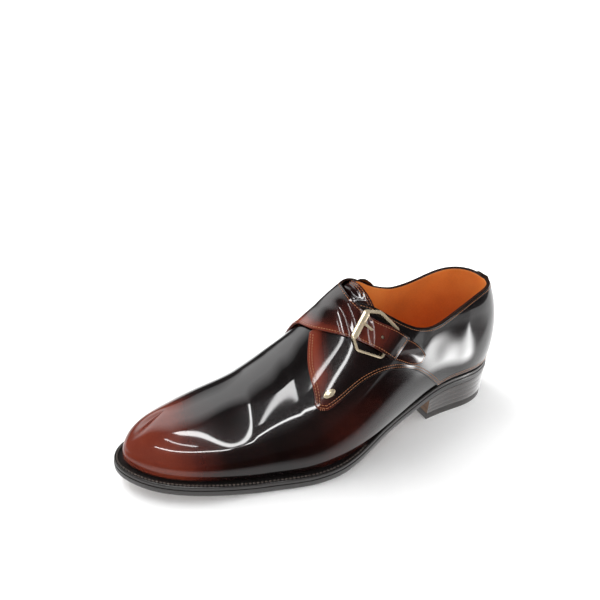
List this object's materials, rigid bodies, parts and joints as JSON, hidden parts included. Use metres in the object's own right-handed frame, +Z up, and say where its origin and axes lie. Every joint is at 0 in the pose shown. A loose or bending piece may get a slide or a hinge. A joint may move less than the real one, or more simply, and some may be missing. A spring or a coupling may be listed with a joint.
{
  "type": "monk strap shoe",
  "caption": "Left leather monk strap shoe: hollow upper with an instep strap and side buckle, tongue, quarters, welted leather sole and stacked heel.",
  "frame": {"origin": "on the floor under the middle of the shoe's bounding box", "axes": "+X toward the toe, +Y toward the wearer's left, the outer side, +Z up"},
  "size_m": [0.3018, 0.1032, 0.1159],
  "materials": {
    "upper_leather": "polished near-black leather, burnished red-brown at the toe and edges",
    "sole_leather": "black dyed edge, satin",
    "heel_leather": "stacked leather, dark polished sides",
    "heel_rubber": "matte",
    "insole_leather": "tan, soft satin",
    "buckle_metal": "pale gold, polished"
  },
  "bodies": {
    "root": {"outsole": "sole_leather", "welt": "sole_leather", "heel_stack": "heel_leather", "heel_top_lift": "heel_rubber", "insole": "insole_leather", "upper": "upper_leather", "tongue": "upper_leather", "quarter_outer": "upper_leather", "quarter_inner": "upper_leather", "back_strap": "upper_leather", "buckle_tab": "upper_leather", "buckle_frame": "buckle_metal", "buckle_prong": "buckle_metal", "stud_outer": "buckle_metal", "stud_inner": "buckle_metal"}
  },
  "joints": []
}
